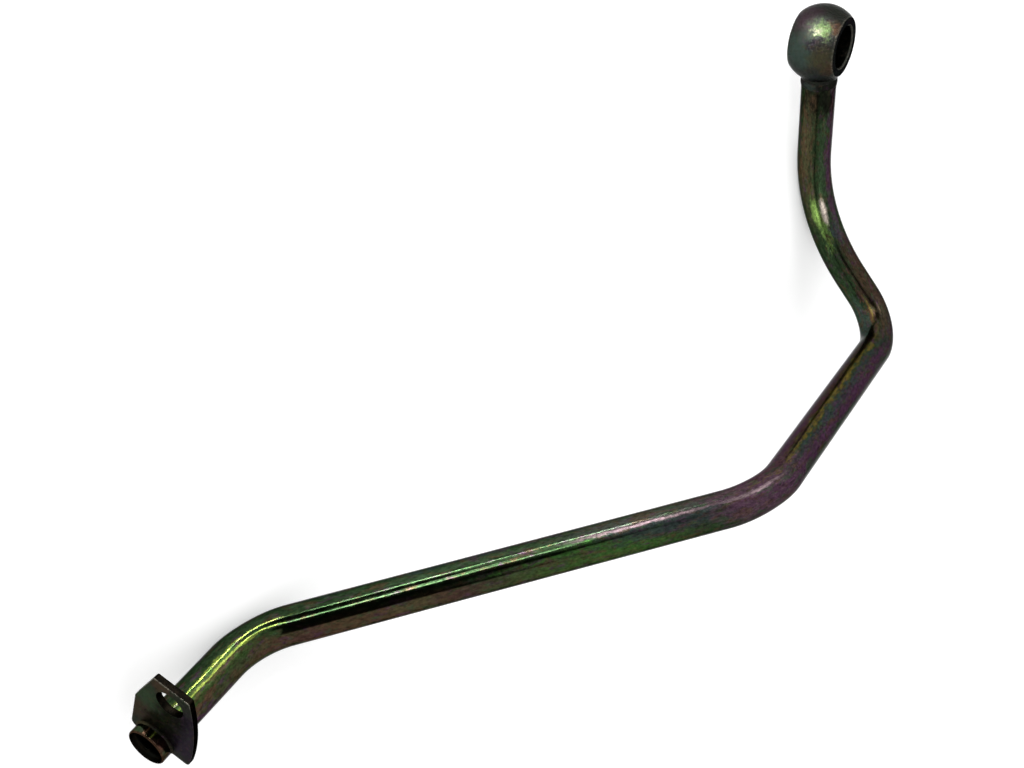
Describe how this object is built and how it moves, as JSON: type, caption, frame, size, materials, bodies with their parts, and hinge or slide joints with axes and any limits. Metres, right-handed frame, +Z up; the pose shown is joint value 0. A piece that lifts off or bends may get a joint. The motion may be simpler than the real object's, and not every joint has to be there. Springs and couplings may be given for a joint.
{
  "type": "oil pump pipe",
  "caption": "Bent steel oil pipe with a bolt-on plate and short spigot at one end and a banjo eye at the other.",
  "frame": {"origin": "centre of the bounding box on the floor the pipe lies on", "axes": "+Z up; +X along the pipe's first straight as seen from above, from the spigot towards the banjo eye, the longest way; +Y completes the frame"},
  "size_m": [0.3116, 0.132, 0.0743],
  "materials": {
    "plated_tube": "glossy iridescent chromate over zinc",
    "plated_plate": "dull iridescent chromate over zinc",
    "plated_forging": "grainy iridescent chromate over zinc",
    "plated_braze": "rough plated filler metal"
  },
  "bodies": {
    "root": {"feed_pipe": "plated_tube", "mounting_flange": "plated_plate", "flange_braze": "plated_braze", "banjo_eye": "plated_forging", "banjo_braze": "plated_braze"}
  },
  "joints": []
}
